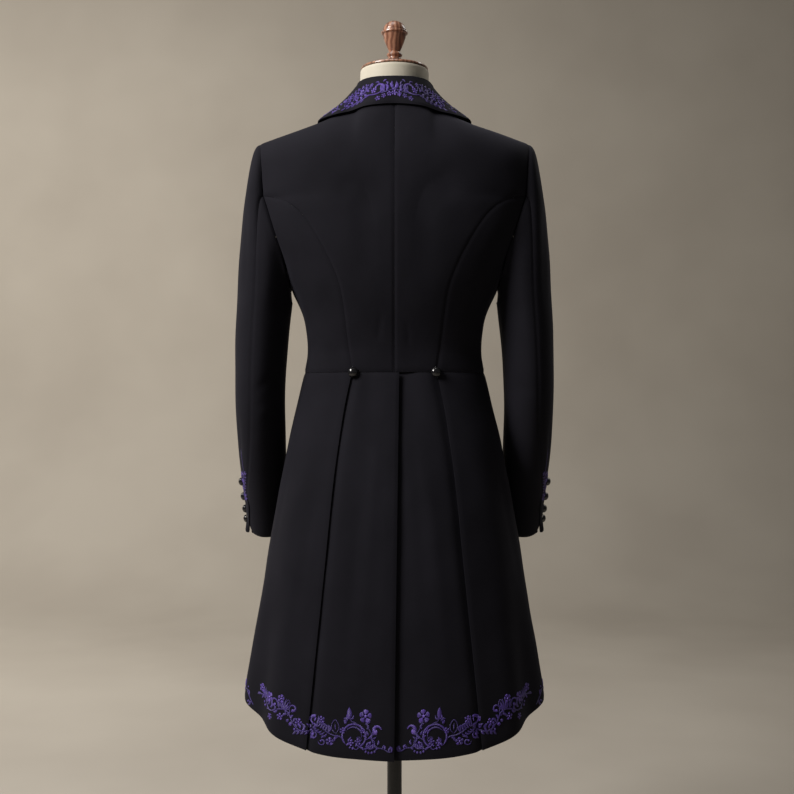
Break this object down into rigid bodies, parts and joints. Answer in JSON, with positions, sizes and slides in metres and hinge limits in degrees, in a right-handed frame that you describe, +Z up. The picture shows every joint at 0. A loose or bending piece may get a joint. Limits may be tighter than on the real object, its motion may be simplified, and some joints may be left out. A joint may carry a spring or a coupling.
{
  "type": "victorian tailcoat on a dress form",
  "caption": "Long-skirted black wool tailcoat with embroidered collar, cuffs and hem, worn by a limbless dress form on a round base.",
  "frame": {"origin": "middle of the underside of the stand's round base", "axes": "+Z up along the pole, the coat's front faces -Y and its left side is +X"},
  "size_m": [0.5492, 0.3627, 1.669],
  "materials": {
    "wool": "fine black wool cloth, pressed, with purple satin stitch",
    "button": "polished black, cut in facets",
    "jersey": "cream cotton cover, stretched smooth",
    "wood": "turned, red-brown, polished",
    "stand": "black satin"
  },
  "bodies": {
    "root": {"back_left": "wool", "back_right": "wool", "side_body_left": "wool", "side_body_right": "wool", "forepart_left": "wool", "forepart_right": "wool", "skirt_back_left": "wool", "skirt_back_right": "wool", "skirt_side_left": "wool", "skirt_side_right": "wool", "top_sleeve_left": "wool", "top_sleeve_right": "wool", "under_sleeve_left": "wool", "under_sleeve_right": "wool", "lapel_left": "wool", "lapel_right": "wool", "collar": "wool", "hip_button_left": "button", "hip_button_right": "button", "cuff_button_left_1": "button", "cuff_button_left_2": "button", "cuff_button_left_3": "button", "cuff_button_left_4": "button", "cuff_button_right_1": "button", "cuff_button_right_2": "button", "cuff_button_right_3": "button", "cuff_button_right_4": "button", "front_button_1": "button", "front_button_2": "button", "front_button_3": "button", "form_torso": "jersey", "form_neck": "jersey", "neck_cap": "wood", "finial": "wood", "stand_pole": "stand", "stand_base": "stand"}
  },
  "joints": []
}
